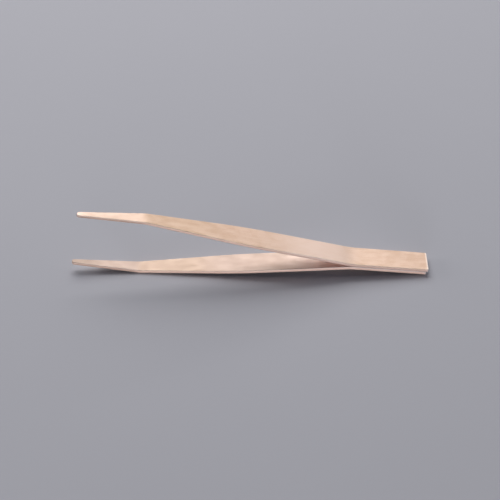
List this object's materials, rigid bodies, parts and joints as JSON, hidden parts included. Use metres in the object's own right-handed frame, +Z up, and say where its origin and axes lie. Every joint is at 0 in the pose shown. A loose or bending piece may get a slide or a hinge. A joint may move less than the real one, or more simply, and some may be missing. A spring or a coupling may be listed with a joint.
{
  "type": "precision tweezers",
  "caption": "Copper-alloy tweezers: two bent spring strips spot-welded at the tail, tapering to narrow blunt points that meet when squeezed.",
  "frame": {"origin": "middle of the footprint, on the table that the tweezers lie on", "axes": "+X from the points to the welded tail, +Y across the width, +Z up from the table"},
  "size_m": [0.1254, 0.0096, 0.025],
  "materials": {
    "copper_alloy": "matt satin, fine rolled grain, pinkish copper alloy",
    "weld_metal": "cast, rough, darker than the sheet"
  },
  "bodies": {
    "tail": {"upper_tail_leaf": "copper_alloy", "lower_tail_leaf": "copper_alloy", "weld_nugget_1": "weld_metal", "weld_nugget_2": "weld_metal"},
    "upper_blade": {"upper_blade": "copper_alloy"},
    "lower_blade": {"lower_blade": "copper_alloy"}
  },
  "joints": [
    {"name": "upper_flex", "type": "hinge", "parent": "tail", "child": "upper_blade", "pos_m": [0.02226, 0, 0.0079], "axis": [0, -1, 0], "range_deg": [0, 6.9], "stiffness_Nm_per_rad": 2.5},
    {"name": "lower_flex", "type": "hinge", "parent": "tail", "child": "lower_blade", "pos_m": [0.02112, 0, 0.00271], "axis": [0, 1, 0], "range_deg": [0, 6.9], "stiffness_Nm_per_rad": 2.5}
  ]
}
